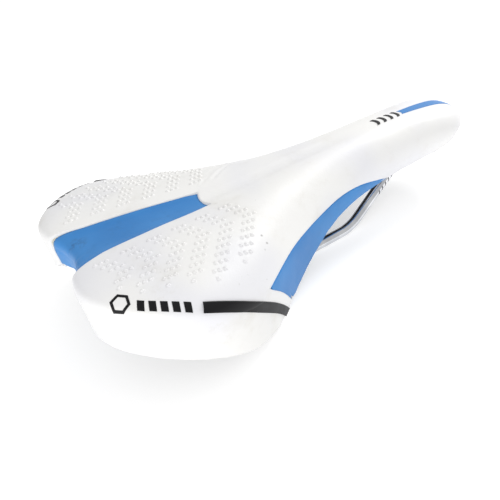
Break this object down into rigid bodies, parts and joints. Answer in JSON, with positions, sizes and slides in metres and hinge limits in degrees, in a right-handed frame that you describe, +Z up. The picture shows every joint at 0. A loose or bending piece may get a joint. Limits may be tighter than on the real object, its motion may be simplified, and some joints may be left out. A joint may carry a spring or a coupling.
{
  "type": "bicycle saddle",
  "caption": "Sports bicycle saddle with padded wings, a recessed centre channel, a long slim nose and a bent round rail for a seatpost clamp.",
  "frame": {"origin": "middle of the seatpost clamp's place: midway between the two straight rail stretches, on their axes' level", "axes": "+X forward to the nose, +Y to the rider's left, +Z up"},
  "size_m": [0.2849, 0.151, 0.0647],
  "materials": {
    "white_cover": "matte",
    "blue_cover": "satin",
    "blue_film": "satin",
    "black_film": "satin",
    "gel": "matte",
    "foam": "matte",
    "nylon": "matte",
    "rail_steel": "polished",
    "bush": "matte",
    "socket": "matte",
    "clip_plate": "satin",
    "screw_steel": "satin",
    "staple_steel": "satin"
  },
  "bodies": {
    "root": {"cover_main": "white_cover", "channel_liner": "blue_cover", "side_panel_left": "blue_cover", "side_panel_right": "blue_cover", "nose_stripe": "blue_film", "nose_marks": "black_film", "band_film_left": "black_film", "band_film_right": "black_film", "emblem_film_left": "black_film", "emblem_film_right": "black_film", "gel_pad_left": "gel", "gel_pad_right": "gel", "foam_pad": "foam", "base_shell": "nylon", "rail": "rail_steel", "rear_bush_left": "bush", "rear_bush_right": "bush", "rear_socket_left": "socket", "rear_socket_right": "socket", "nose_socket": "socket", "nose_clip": "clip_plate", "nose_clip_screw": "screw_steel", "cover_staples": "staple_steel"}
  },
  "joints": []
}
